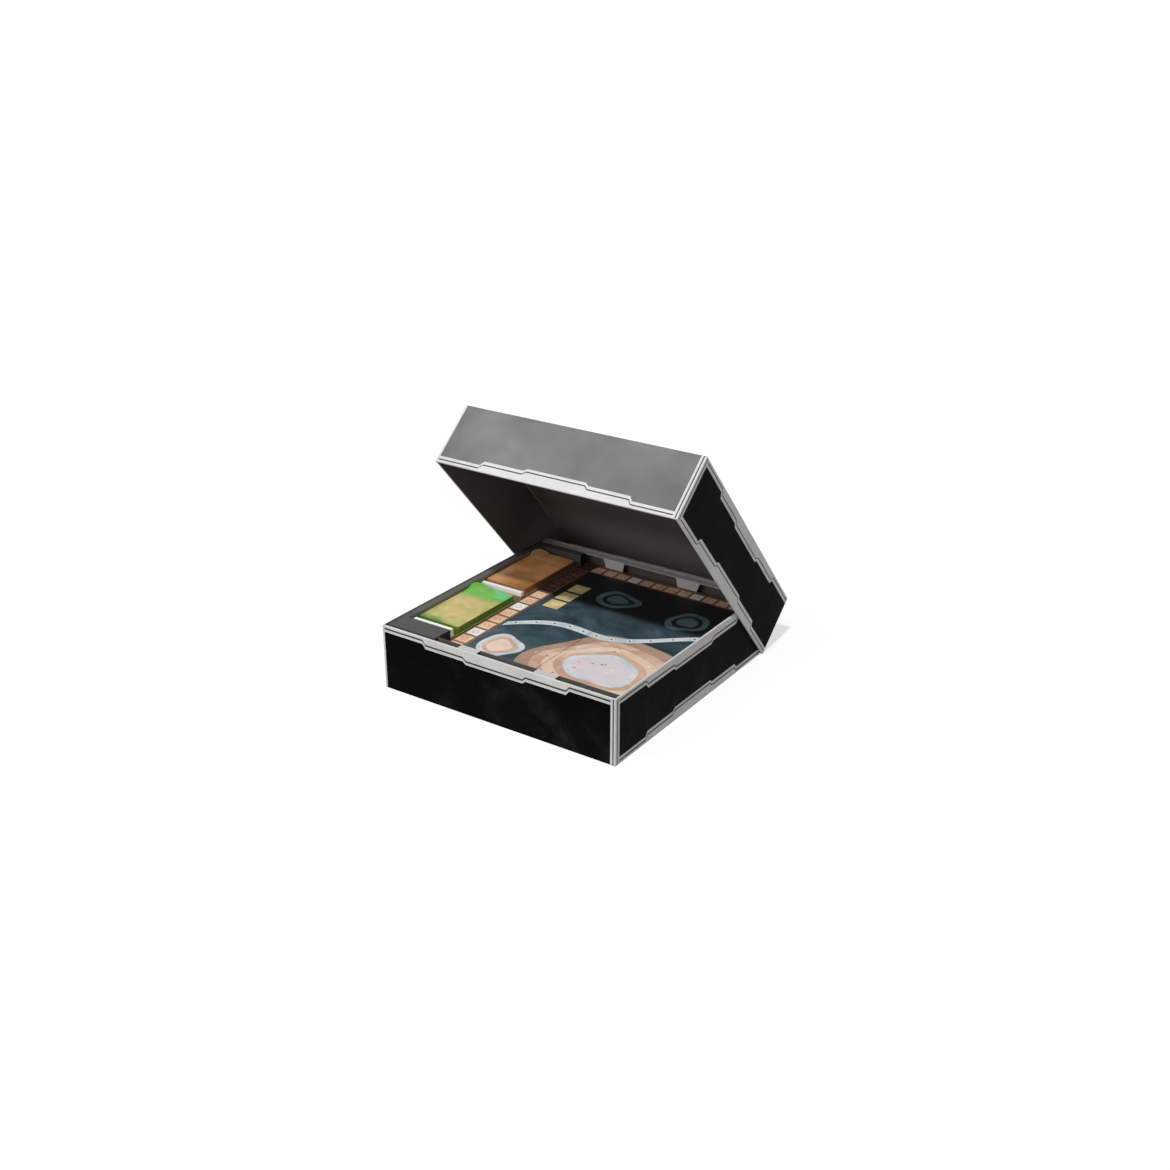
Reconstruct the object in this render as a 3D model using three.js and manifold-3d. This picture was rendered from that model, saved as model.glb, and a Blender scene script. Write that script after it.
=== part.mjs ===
// A two-piece board game storage box with its contents.
// Millimetres, +Z up. The origin is the centre of the base's underside, +X is right and -Y is the front.
// The lid is a full-depth telescoping cover, shown tilted open on its lower back edge.

import * as THREE from 'three';
import { mergeVertices } from 'three/addons/utils/BufferGeometryUtils.js';
import Module from 'manifold-3d';

const wasm = await Module();
wasm.setup();

// Box base
const BOX_SIDE = 295;
const BOX_HEIGHT = 74;
const FLOOR_BOARD = 2;
const WALL_BOARD = 1.7;
const WRAP_PAPER = 0.3;
const WRAP_TURN_IN = 15;
const WRAP_FOOT_GAP = 0.3;
const FLOOR_LINER = 0.4;

// Lid
const LID_OVERHANG = 2.8;
const LID_HEIGHT = 73.3;
const LID_BOARD = 1.4;
const LID_PAPER = 0.3;
const GLUE_GAP = 0.3;
const LID_TILT = THREE.MathUtils.degToRad(49);
const BACK_LINER_RIM_DROP = 1.5;

// Card insert on the left
const FIT = 0.3;
const CARD = 1.2;
const INSERT_RIM_DROP = 0.5;
const INSERT_WIDTH = 64.1;
const INSERT_FRONT_GAP = 3.8;
const WELL_LEFT_STRIP = 7.7;
const WELL_FLOOR_DEPTH = 38;
const SHELF_CARD = 1.2;

// Card ledges in front of and behind the board
const LEDGE_CARD = 0.8;
const LEDGE_RIM_DROP = 0.8;
const FRONT_LEDGE_WIDTH = 8.6;
const BACK_LEDGE_WIDTH = 9.3;
const FRONT_TAB_LEFT_SHARES = [0.3342, 0.6603];
const FRONT_TAB_RIGHT_SHARES = [0.4166, 0.7485];
const BACK_TAB_TOP_LEFT_SHARES = [0.3122, 0.6471];
const BACK_TAB_TOP_RIGHT_SHARES = [0.4112, 0.7532];
const BACK_TAB_FOOT_LEFT_SHARES = [0.3329, 0.6597];
const BACK_TAB_FOOT_RIGHT_SHARES = [0.3966, 0.7298];

// Folded game board
const BOARD_LEFT_GAP = 1;
const BOARD_EDGE_GAP = 0.4;
const BOARD_LEAF = 2;
const BOARD_LEAVES = 4;
const BOARD_RIM_DROP = 11.9;

// Component trays under the board
const BIN_WALL = 1.6;
const BIN_GAP = 0.4;
const BIN_ROWS = [3, 2];

// Card trays and decks
const TRAY_CARD = 1;
const TRAY_FLOOR = 1.2;
const TRAY_SIDE_RIM_DROP = 10.8;
const DIVIDER = 4.8;
const FRONT_DIVIDER_RIM_DROP = 0.8;
const FRONT_DIVIDER_INSET = 5.4;
const REAR_DIVIDER_RIM_DROP = 4.7;
const REAR_DIVIDER_INSET = 1;
const TOP_CARD = 0.6;
const DECK_RIM_DROP = 3.5;
const CARD_CORNER = 3.5;
const CARD_LOBE_RADIUS = 11;
const CARD_LOBE_SIDE_REACH = 1.2;
const CARD_LOBE_BACK_REACH = 3;
const CARD_CURL_RISE = 3;
const CARD_CURL_ALONG_SIDE = 24;
const CARD_CURL_ALONG_BACK = 16;
const REAR_WELL_BACK = 22;
const REAR_DECK_BACK = 32.4;
const REAR_DECK_SLACK = 3.2;
const DECK_SPACING = 10.6;
const FRONT_FINGER_GAP = 9.6;
const FRONT_DIVIDER_SETBACK = 31.6;

const CURVE_STEPS = 6;
const LOBE_STEPS = 40;
const CUT_OVERRUN = 5;

// Places that follow from the sizes above
const boxHalf = BOX_SIDE / 2;
const wallOuter = boxHalf - WRAP_PAPER;
const wallInner = wallOuter - WALL_BOARD;
const insideHalf = wallInner - WRAP_PAPER;
const contentHalf = insideHalf - FIT;
const wallTop = BOX_HEIGHT - WRAP_PAPER;
const floorTop = FLOOR_BOARD + FLOOR_LINER;
const insertTop = BOX_HEIGHT - INSERT_RIM_DROP;
const insertRight = -contentHalf + INSERT_WIDTH;
const insertFront = -insideHalf + INSERT_FRONT_GAP;
const ledgeTop = BOX_HEIGHT - LEDGE_RIM_DROP;
const boardTop = BOX_HEIGHT - BOARD_RIM_DROP;
const boardBottom = boardTop - BOARD_LEAVES * BOARD_LEAF;
const frontLedgeBack = -contentHalf + FRONT_LEDGE_WIDTH;
const backLedgeFront = contentHalf - BACK_LEDGE_WIDTH;
const boardLeft = insertRight + BOARD_LEFT_GAP;
const boardRight = contentHalf - BOARD_EDGE_GAP;
const boardFront = frontLedgeBack + BOARD_EDGE_GAP;
const boardBack = backLedgeFront - BOARD_EDGE_GAP;
const insertBack = backLedgeFront - FIT;
const wellLeft = -contentHalf + WELL_LEFT_STRIP;
const wellBack = boxHalf - REAR_WELL_BACK;
const frontDividerFront = -boxHalf + FRONT_DIVIDER_SETBACK;
const wellFront = frontDividerFront - FIT;
const rearDeckBack = boxHalf - REAR_DECK_BACK;
const bothDecks = rearDeckBack - frontDividerFront
  - REAR_DECK_SLACK - DIVIDER - DECK_SPACING - FRONT_FINGER_GAP - DIVIDER;
const deckLength = bothDecks / 2;
const rearDividerFront = rearDeckBack - deckLength - REAR_DECK_SLACK - DIVIDER;
const frontDeckBack = rearDividerFront - DECK_SPACING;
const shelfTop = BOX_HEIGHT - WELL_FLOOR_DEPTH;
const trayLeft = wellLeft + FIT;
const lidSide = BOX_SIDE + LID_OVERHANG * 2;
const lidHalf = lidSide / 2;

const colours = {
  greyboard: 0x8c857a,
  wrap: 0x111315,
  floorPaper: 0x1f1e1d,
  lidPrint: 0x6f7371,
  lidLiner: 0x2b2827,
  lightLiner: 0xb8b6b2,
  insert: 0x58585a,
  ledge: 0xb4b2ad,
  bin: 0x2e2f31,
  whiteCard: 0xe6e2da,
  greenEdge: 0x2f5a1e,
  greenCard: 0x8fae48,
  orangeEdge: 0x6b4426,
  orangeCard: 0xa66d3a,
  boardPrint: 0x3f4f58,
  boardCore: 0x4a4a48,
};

const part = new THREE.Group();
const lidGroup = new THREE.Group();

// A box between two corners, with its place kept in its vertices.
function slab(low, high) {
  const geometry = new THREE.BoxGeometry(high[0] - low[0], high[1] - low[1], high[2] - low[2]);
  geometry.translate((low[0] + high[0]) / 2, (low[1] + high[1]) / 2, (low[2] + high[2]) / 2);
  return geometry;
}

// A closed body for joining and cutting.
function solid(geometry) {
  const bare = geometry.clone();
  bare.deleteAttribute('normal');
  bare.deleteAttribute('uv');
  const welded = mergeVertices(bare);
  return new wasm.Manifold(new wasm.Mesh({
    numProp: 3,
    vertProperties: new Float32Array(welded.getAttribute('position').array),
    triVerts: new Uint32Array(welded.getIndex().array),
  }));
}

function block(low, high) {
  return solid(slab(low, high));
}

// The drawable surface of a joined or cut body.
function surface(body) {
  const mesh = body.getMesh();
  const geometry = new THREE.BufferGeometry();
  geometry.setAttribute('position', new THREE.BufferAttribute(mesh.vertProperties, mesh.numProp));
  geometry.setIndex(new THREE.BufferAttribute(mesh.triVerts, 1));
  const faceted = geometry.toNonIndexed();
  faceted.computeVertexNormals();
  return faceted;
}

function add(name, geometry, colour, roughness, group = part) {
  const finish = new THREE.MeshStandardMaterial({ color: colour, roughness, metalness: 0 });
  const mesh = new THREE.Mesh(geometry, finish);
  mesh.name = name;
  group.add(mesh);
}

// Four greyboard walls on a greyboard floor, inside a printed paper wrap that turns over the rim.
function addBase() {
  add('base_floor_board', slab(
    [-wallOuter, -wallOuter, 0],
    [wallOuter, wallOuter, FLOOR_BOARD],
  ), colours.wrap, 0.6);
  add('base_front_board', slab(
    [-wallOuter, -wallOuter, FLOOR_BOARD],
    [wallOuter, -wallInner, wallTop],
  ), colours.greyboard, 0.9);
  add('base_back_board', slab(
    [-wallOuter, wallInner, FLOOR_BOARD],
    [wallOuter, wallOuter, wallTop],
  ), colours.greyboard, 0.9);
  add('base_left_board', slab(
    [-wallOuter, -wallInner, FLOOR_BOARD],
    [-wallInner, wallInner, wallTop],
  ), colours.greyboard, 0.9);
  add('base_right_board', slab(
    [wallInner, -wallInner, FLOOR_BOARD],
    [wallOuter, wallInner, wallTop],
  ), colours.greyboard, 0.9);
  add('base_floor_liner', slab(
    [-wallInner, -wallInner, FLOOR_BOARD],
    [wallInner, wallInner, floorTop],
  ), colours.floorPaper, 0.8);

  const skin = block([-boxHalf, -boxHalf, WRAP_FOOT_GAP], [boxHalf, boxHalf, BOX_HEIGHT])
    .subtract(block(
      [-wallOuter, -wallOuter, -CUT_OVERRUN],
      [wallOuter, wallOuter, wallTop],
    ));
  const turnIn = block(
    [-wallInner, -wallInner, BOX_HEIGHT - WRAP_TURN_IN],
    [wallInner, wallInner, BOX_HEIGHT],
  );
  const opening = block(
    [-insideHalf, -insideHalf, -CUT_OVERRUN],
    [insideHalf, insideHalf, BOX_HEIGHT + CUT_OVERRUN],
  );
  add('base_wrap', surface(skin.add(turnIn).subtract(opening)), colours.wrap, 0.45);
}

// The dark card insert: a top with a long well, four folded sides and a shelf for the card trays.
function addInsert() {
  const sides = block([-contentHalf, insertFront, floorTop], [insertRight, insertBack, insertTop])
    .subtract(block(
      [-contentHalf + CARD, insertFront + CARD, floorTop - CUT_OVERRUN],
      [insertRight - CARD, insertBack - CARD, insertTop - CARD],
    ));
  const well = block(
    [wellLeft, wellFront, shelfTop],
    [insertRight + CUT_OVERRUN, wellBack, insertTop + CUT_OVERRUN],
  );
  const wellLining = block(
    [wellLeft - CARD, wellFront - CARD, shelfTop - SHELF_CARD],
    [insertRight, wellBack + CARD, insertTop],
  );
  add('insert_card_wells', surface(sides.add(wellLining).subtract(well)), colours.insert, 0.75);
}

// The recess wall in front of the board, and the two light tabs that bridge it to the box wall.
function addFrontLedge() {
  const tabBottom = ledgeTop - LEDGE_CARD;
  let wall = block(
    [insertRight + FIT, frontLedgeBack - LEDGE_CARD, floorTop],
    [contentHalf, frontLedgeBack, ledgeTop],
  );
  ['left', 'right'].forEach((side, index) => {
    const tabLeft = -boxHalf + BOX_SIDE * FRONT_TAB_LEFT_SHARES[index];
    const tabRight = -boxHalf + BOX_SIDE * FRONT_TAB_RIGHT_SHARES[index];
    wall = wall.subtract(block(
      [tabLeft, frontLedgeBack - LEDGE_CARD - CUT_OVERRUN, tabBottom],
      [tabRight, frontLedgeBack + CUT_OVERRUN, ledgeTop + CUT_OVERRUN],
    ));
    const tab = block(
      [tabLeft, -contentHalf, tabBottom],
      [tabRight, frontLedgeBack, ledgeTop],
    ).add(block(
      [tabLeft, -contentHalf, floorTop],
      [tabRight, -contentHalf + LEDGE_CARD, ledgeTop],
    ));
    add(`insert_front_tab_${side}`, surface(tab), colours.ledge, 0.7);
  });
  add('insert_front_wall', surface(wall), colours.insert, 0.75);
}

// The light ledge behind the board, on a dark wall, with two tapered tabs folded down in front.
function addBackLedge() {
  const stripBottom = ledgeTop - LEDGE_CARD;
  const across = (share) => -boxHalf + BOX_SIDE * share;
  add('insert_back_wall', slab(
    [-contentHalf, contentHalf - LEDGE_CARD, floorTop],
    [contentHalf, contentHalf, stripBottom],
  ), colours.insert, 0.75);
  let ledge = block(
    [-contentHalf, backLedgeFront, stripBottom],
    [contentHalf, contentHalf, ledgeTop],
  );
  BACK_TAB_TOP_LEFT_SHARES.forEach((topLeftShare, index) => {
    const outline = new THREE.Shape([
      new THREE.Vector2(across(BACK_TAB_FOOT_LEFT_SHARES[index]), boardBottom),
      new THREE.Vector2(across(BACK_TAB_FOOT_RIGHT_SHARES[index]), boardBottom),
      new THREE.Vector2(across(BACK_TAB_TOP_RIGHT_SHARES[index]), ledgeTop),
      new THREE.Vector2(across(topLeftShare), ledgeTop),
    ]);
    const tab = new THREE.ExtrudeGeometry(outline, { depth: LEDGE_CARD, bevelEnabled: false });
    tab.rotateX(Math.PI / 2);
    tab.translate(0, backLedgeFront + LEDGE_CARD, 0);
    ledge = ledge.add(solid(tab));
  });
  add('insert_back_ledge', surface(ledge), colours.ledge, 0.7);
}

// A deep tray of equal compartments in one row from front to back.
function addBin(name, left, right, rows) {
  const front = frontLedgeBack + FIT;
  const back = backLedgeFront - FIT;
  const pitch = (back - front - BIN_WALL) / rows;
  let tray = block([left, front, floorTop], [right, back, boardBottom]);
  for (let row = 0; row < rows; row += 1) {
    const rowFront = front + BIN_WALL + row * pitch;
    tray = tray.subtract(block(
      [left + BIN_WALL, rowFront, floorTop + BIN_WALL],
      [right - BIN_WALL, rowFront + pitch - BIN_WALL, boardBottom + CUT_OVERRUN],
    ));
  }
  add(name, surface(tray), colours.bin, 0.6);
}

function addBins() {
  const left = insertRight + FIT;
  const middle = (left + contentHalf) / 2;
  addBin('component_tray_left', left, middle - BIN_GAP / 2, BIN_ROWS[0]);
  addBin('component_tray_right', middle + BIN_GAP / 2, contentHalf, BIN_ROWS[1]);
}

// The folded game board, as a stack of leaves.
function addBoard() {
  for (let leaf = 0; leaf < BOARD_LEAVES; leaf += 1) {
    const bottom = boardBottom + leaf * BOARD_LEAF;
    const colour = leaf === BOARD_LEAVES - 1 ? colours.boardPrint : colours.boardCore;
    add(`board_leaf_${leaf + 1}`, slab(
      [boardLeft, boardFront, bottom],
      [boardRight, boardBack, bottom + BOARD_LEAF],
    ), colour, 0.5);
  }
}

// A white card tray: a floor, low sides, and a tall folded divider across its front.
function addCardTray(name, front, back, dividerTop, dividerInset) {
  const bottom = shelfTop;
  const sideTop = BOX_HEIGHT - TRAY_SIDE_RIM_DROP;
  const tray = block([trayLeft, front, bottom], [insertRight, back, sideTop])
    .subtract(block(
      [trayLeft + TRAY_CARD, front + DIVIDER, bottom + TRAY_FLOOR],
      [insertRight - TRAY_CARD, back - TRAY_CARD, sideTop + CUT_OVERRUN],
    ))
    .add(block(
      [trayLeft + dividerInset, front, bottom],
      [insertRight, front + DIVIDER, dividerTop],
    ));
  add(name, surface(tray), colours.whiteCard, 0.7);
}

const cardLeft = trayLeft + TRAY_CARD + FIT;
const cardRight = insertRight - TRAY_CARD - FIT;

// One card outline with rounded corners.
function cardOutline(front, back) {
  const outline = new THREE.Shape();
  outline.moveTo(cardLeft + CARD_CORNER, front);
  outline.lineTo(cardRight - CARD_CORNER, front);
  outline.quadraticCurveTo(cardRight, front, cardRight, front + CARD_CORNER);
  outline.lineTo(cardRight, back - CARD_CORNER);
  outline.quadraticCurveTo(cardRight, back, cardRight - CARD_CORNER, back);
  outline.lineTo(cardLeft + CARD_CORNER, back);
  outline.quadraticCurveTo(cardLeft, back, cardLeft, back - CARD_CORNER);
  outline.lineTo(cardLeft, front + CARD_CORNER);
  outline.quadraticCurveTo(cardLeft, front, cardLeft + CARD_CORNER, front);
  return outline;
}

// The top card: a round lobe at the left of its back edge, and that corner bent up off the stack.
function topCard(front, back, top) {
  const bottom = top - TOP_CARD;
  const height = TOP_CARD + CARD_CURL_RISE + CUT_OVERRUN * 2;
  const plan = new THREE.ExtrudeGeometry(cardOutline(front, back), {
    depth: height,
    bevelEnabled: false,
    curveSegments: CURVE_STEPS,
  });
  plan.translate(0, 0, bottom - CUT_OVERRUN);
  const lobeCentre = new THREE.Vector2(
    cardLeft - CARD_LOBE_SIDE_REACH + CARD_LOBE_RADIUS,
    back + CARD_LOBE_BACK_REACH - CARD_LOBE_RADIUS,
  );
  const lobe = new THREE.CylinderGeometry(
    CARD_LOBE_RADIUS, CARD_LOBE_RADIUS, height, LOBE_STEPS,
  );
  lobe.rotateX(Math.PI / 2);
  lobe.translate(lobeCentre.x, lobeCentre.y, bottom - CUT_OVERRUN + height / 2);

  const bendStart = new THREE.Vector2(cardLeft, back - CARD_CURL_ALONG_SIDE);
  const rising = new THREE.Vector2(-CARD_CURL_ALONG_SIDE, CARD_CURL_ALONG_BACK).normalize();
  const reach = lobeCentre.clone().sub(bendStart).dot(rising) + CARD_LOBE_RADIUS;
  const span = deckLength * 2;
  const upper = [];
  const lower = [];
  for (let step = 0; step <= CURVE_STEPS; step += 1) {
    const share = step / CURVE_STEPS;
    const rise = CARD_CURL_RISE * share * share;
    lower.push(new THREE.Vector2(reach * share, bottom + rise));
    upper.push(new THREE.Vector2(reach * share, top + rise));
  }
  const sheet = new THREE.ExtrudeGeometry(new THREE.Shape([
    new THREE.Vector2(-span, bottom), ...lower, ...upper.reverse(), new THREE.Vector2(-span, top),
  ]), { depth: span * 2, bevelEnabled: false });
  sheet.rotateX(Math.PI / 2);
  sheet.translate(0, span, 0);
  sheet.rotateZ(rising.angle());
  sheet.translate(bendStart.x, bendStart.y, 0);
  return surface(solid(plan).add(solid(lobe)).intersect(solid(sheet)));
}

function addDeck(name, back, edgeColour, faceColour) {
  const front = back - deckLength;
  const bottom = shelfTop + TRAY_FLOOR;
  const top = BOX_HEIGHT - DECK_RIM_DROP;
  const stack = new THREE.ExtrudeGeometry(cardOutline(front, back), {
    depth: top - TOP_CARD - bottom,
    bevelEnabled: false,
    curveSegments: CURVE_STEPS,
  });
  stack.translate(0, 0, bottom);
  add(`${name}_card_stack`, stack, edgeColour, 0.8);
  add(`${name}_top_card`, topCard(front, back, top), faceColour, 0.5);
}

function addCards() {
  const rearBack = wellBack - FIT;
  const frontTrayBack = frontDeckBack + FIT + TRAY_CARD;
  const rearTop = BOX_HEIGHT - REAR_DIVIDER_RIM_DROP;
  const frontTop = BOX_HEIGHT - FRONT_DIVIDER_RIM_DROP;
  addCardTray('card_tray_rear', rearDividerFront, rearBack, rearTop, REAR_DIVIDER_INSET);
  addCardTray('card_tray_front', frontDividerFront, frontTrayBack, frontTop, FRONT_DIVIDER_INSET);
  addDeck('rear_deck', rearDeckBack, colours.orangeEdge, colours.orangeCard);
  addDeck('front_deck', frontDeckBack, colours.greenEdge, colours.greenCard);
}

// The lid lies in its own frame: its lower back edge on the X axis, its front towards -Y, its top at +Z.
function addLid() {
  const boardOut = lidHalf - LID_PAPER - GLUE_GAP;
  const boardIn = boardOut - LID_BOARD;
  const frontOut = -lidSide + LID_PAPER + GLUE_GAP;
  const backOut = -LID_PAPER - GLUE_GAP;
  const topOut = LID_HEIGHT - LID_PAPER - GLUE_GAP;
  const topIn = topOut - LID_BOARD;
  const rim = LID_PAPER + GLUE_GAP;
  const wallsTop = topIn - GLUE_GAP;
  const lidPiece = (name, geometry, colour, roughness) => (
    add(name, geometry, colour, roughness, lidGroup)
  );

  lidPiece('lid_top_board', slab(
    [-boardOut, frontOut, topIn],
    [boardOut, backOut, topOut],
  ), colours.greyboard, 0.9);
  lidPiece('lid_front_board', slab(
    [-boardOut, frontOut, rim],
    [boardOut, frontOut + LID_BOARD, wallsTop],
  ), colours.greyboard, 0.9);
  lidPiece('lid_back_board', slab(
    [-boardOut, backOut - LID_BOARD, rim],
    [boardOut, backOut, wallsTop],
  ), colours.greyboard, 0.9);
  lidPiece('lid_left_board', slab(
    [-boardOut, frontOut + LID_BOARD + GLUE_GAP, rim],
    [-boardIn, backOut - LID_BOARD - GLUE_GAP, wallsTop],
  ), colours.greyboard, 0.9);
  lidPiece('lid_right_board', slab(
    [boardIn, frontOut + LID_BOARD + GLUE_GAP, rim],
    [boardOut, backOut - LID_BOARD - GLUE_GAP, wallsTop],
  ), colours.greyboard, 0.9);

  const wrap = block([-lidHalf, -lidSide, 0], [lidHalf, 0, LID_HEIGHT])
    .subtract(block(
      [-lidHalf + LID_PAPER, -lidSide + LID_PAPER, LID_PAPER],
      [lidHalf - LID_PAPER, -LID_PAPER, LID_HEIGHT - LID_PAPER],
    ))
    .subtract(block(
      [-boardIn, frontOut + LID_BOARD, -CUT_OVERRUN],
      [boardIn, backOut - LID_BOARD, rim],
    ));
  lidPiece('lid_wrap', surface(wrap), colours.lidPrint, 0.45);

  const linerOut = boardIn - GLUE_GAP;
  const linerFront = frontOut + LID_BOARD + GLUE_GAP;
  const linerBack = backOut - LID_BOARD - GLUE_GAP;
  const linerTop = topIn - GLUE_GAP;
  const liner = block([-linerOut, linerFront, rim], [linerOut, linerBack, linerTop])
    .subtract(block(
      [-linerOut + LID_PAPER, linerFront + LID_PAPER, -CUT_OVERRUN],
      [linerOut - LID_PAPER, linerBack + CUT_OVERRUN, linerTop - LID_PAPER],
    ));
  lidPiece('lid_liner', surface(liner), colours.lidLiner, 0.85);
  lidPiece('lid_back_liner', slab(
    [-linerOut + LID_PAPER + GLUE_GAP, linerBack - LID_PAPER, BACK_LINER_RIM_DROP],
    [linerOut - LID_PAPER - GLUE_GAP, linerBack, linerTop - LID_PAPER - GLUE_GAP],
  ), colours.lightLiner, 0.7);

  lidGroup.position.set(0, lidHalf, 0);
  lidGroup.rotation.x = -LID_TILT;
  part.add(lidGroup);
}

addBase();
addInsert();
addFrontLedge();
addBackLedge();
addBins();
addBoard();
addCards();
addLid();

export default part;
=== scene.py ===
import math
import random

import bpy
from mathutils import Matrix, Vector


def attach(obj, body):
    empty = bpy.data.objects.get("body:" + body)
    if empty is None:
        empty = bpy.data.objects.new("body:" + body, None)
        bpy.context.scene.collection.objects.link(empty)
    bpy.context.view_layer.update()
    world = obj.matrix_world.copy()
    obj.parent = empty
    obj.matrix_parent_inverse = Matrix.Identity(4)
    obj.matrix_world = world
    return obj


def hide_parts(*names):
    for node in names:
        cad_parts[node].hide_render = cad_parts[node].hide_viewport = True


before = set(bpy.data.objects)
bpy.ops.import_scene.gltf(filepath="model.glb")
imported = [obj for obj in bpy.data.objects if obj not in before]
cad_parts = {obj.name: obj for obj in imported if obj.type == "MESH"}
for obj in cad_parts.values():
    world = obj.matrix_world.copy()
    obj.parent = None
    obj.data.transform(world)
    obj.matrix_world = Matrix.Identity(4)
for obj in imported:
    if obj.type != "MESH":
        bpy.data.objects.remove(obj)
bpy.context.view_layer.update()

MM = 0.001

# Sizes of the box, in millimetres
BASE_SIDE = 295.0
BASE_HEIGHT = 74.0
BASE_WALL = 2.3
BASE_TURN_IN = 15.0
BASE_FOOT = 0.1
LID_SIDE = 300.6
LID_HEIGHT = 73.3
LID_RIM = 2.0
LID_TURN_IN = 0.6
LID_TILT = math.radians(49)
EDGE_ROUND = 0.7
EDGE_STEPS = 4
RIM_PRINT = 1.4
BOARD_TOP = 62.1
BOARD_LEAVES = 4

# Border print: centre of the pinstripe and outer edge of the light line, from the rim.
# The border widens in two steps from a corner to the middle of a side.
STEP_SHARES = (0.185, 0.365)
STEP_RUN = 4.0
NARROW = (3.6, 7.5)
MIDDLE = (8.4, 12.6)
WIDE = (11.9, 15.6)
PINSTRIPE = 2.0
LID_PINSTRIPE = 1.4
LEFT_EDGE_LINE = 2.8
RIGHT_EDGE_LINES = (2.2, 3.6, 6.2)
SIDE_FRONT_BAND = (2.6, 4.0, 7.0)
TOP_FRAME = 20.0

# Columns of print narrower than SLIVER are left out. NUDGE keeps a place clear of a column's edge.
SLIVER = 1e-6
NUDGE = 1e-7

# Where a tint begins and where it is full: places along its direction, or distances from an edge.
# Apart from the green card's tints, these place painted light, painted shade or painted highlights;
# the board's dark back is print and painted shade.
LID_FOOT_PAINTED_LIGHT = (125.0, 20.0)
CREASE_DEEP = (4.0, 3.4)
CREASE_ASIDE = (3.6, 3.0)
WELL_SIDE_PAINTED_LIGHT_X = (-100.0, -120.0)
INSERT_STEP_PAINTED_SHADE_X = (-95.0, -90.0)
INSERT_FRONT_PAINTED_SHADE_Y = (-95.0, -110.0)
TRAY_SIDE_PAINTED_SHADE_Z = (65.5, 64.0)
BOARD_DARK_PRINT_AND_SHADE_Y = (24.0, 46.0)
ORANGE_PAINTED_LIGHT_Y = (34.0, 52.0)
GREEN_VIVID_Y = (-14.0, 3.0)
GREEN_OLIVE_Y = (-66.0, -76.0)
GREEN_CYAN_Y = (-8.0, 6.0)

# How far a surface has to face right for a tint, how strong a tint is, how uneven its edge is
FACING_RIGHT = (0.4, 0.6)
CREASE_HIGHLIGHT_STRENGTH = 0.5
INSERT_FRONT_PAINTED_SHADE_STRENGTH = 0.8
BROWN_STRENGTH = 0.6
GREEN_WANDER = 46.0

# Centre of the lobe on the rear deck's top card. A painted highlight, a pale line, runs round it
# and on to the right.
REAR_LOBE = (-125.8, 107.1)
REAR_LOBE_HIGHLIGHT_RADIUS = 10.2
REAR_LOBE_HIGHLIGHT_EDGE = (0.8, 0.4)
REAR_LOBE_HIGHLIGHT_STRENGTH = 0.8

# Relief of a surface in metres, and sockets of the Mix node when it mixes colours
FINE_RELIEF = 0.0001
COARSE_RELIEF = 0.0002
MIX_FACTOR, MIX_A, MIX_B = 0, 6, 7
MIX_RESULT = 2


# Materials
def rgb(r, g, b):
    """An sRGB colour, 0 to 255, as a linear one."""
    def channel(value):
        value /= 255
        return value / 12.92 if value <= 0.04045 else ((value + 0.055) / 1.055) ** 2.4
    return (channel(r), channel(g), channel(b), 1.0)


def grey(value):
    return (value, value, value)


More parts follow.
